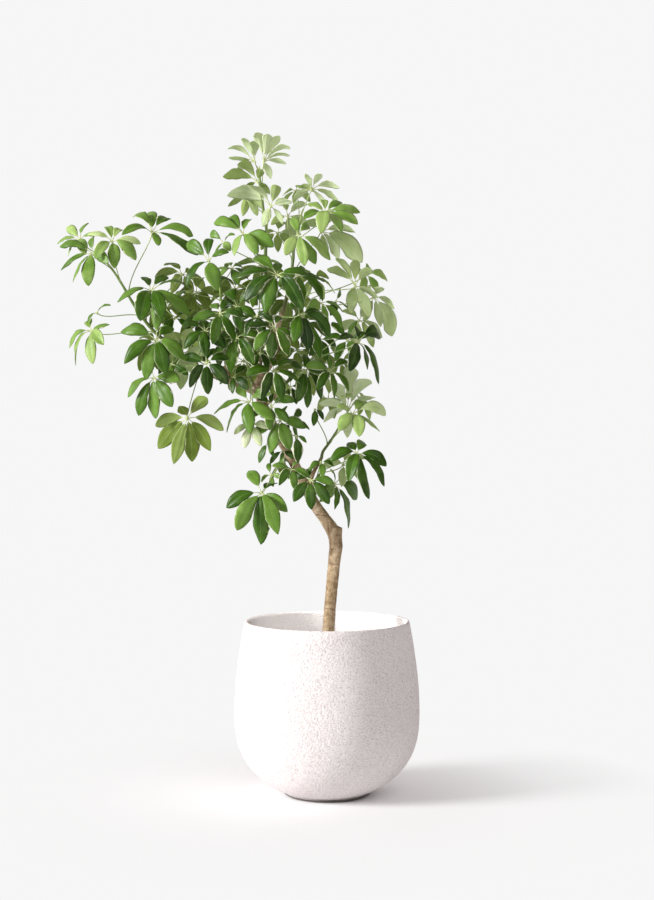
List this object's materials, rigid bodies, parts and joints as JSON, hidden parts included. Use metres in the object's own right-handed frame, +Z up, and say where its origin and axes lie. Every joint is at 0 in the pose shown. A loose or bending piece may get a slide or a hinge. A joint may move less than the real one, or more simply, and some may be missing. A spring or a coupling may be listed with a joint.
{
  "type": "potted umbrella tree",
  "caption": "Small indoor umbrella tree with a bent woody trunk and palmate leaves, standing in a round matt white pot.",
  "frame": {"origin": "middle of the pot's flat foot, on the surface that it stands on", "axes": "+Z up along the pot's axis, -Y towards the side that the picture shows, +X to its right; the crown leans towards -X"},
  "size_m": [0.6131, 0.31, 1.1079],
  "materials": {
    "pot": "matt, rough, unglazed, brushed round the wall",
    "soil": "crumbly",
    "bark": "smooth bark with leaf scars",
    "leaf": "waxy, paler underneath"
  },
  "bodies": {
    "root": {"pot": "pot", "soil": "soil", "trunk": "bark", "stem_leader_left": "leaf", "stem_leader_right": "leaf", "stem_front": "leaf", "stem_right_up": "leaf", "stem_left_end": "leaf", "stem_left_low": "leaf", "stem_left_up": "leaf", "stem_centre_low": "leaf", "stem_right_mid": "leaf", "stem_right_low": "leaf", "stem_low_right": "leaf", "stem_low_left": "leaf", "stem_trunk_side": "leaf", "stem_back": "leaf", "stem_back_left": "leaf"}
  },
  "joints": []
}
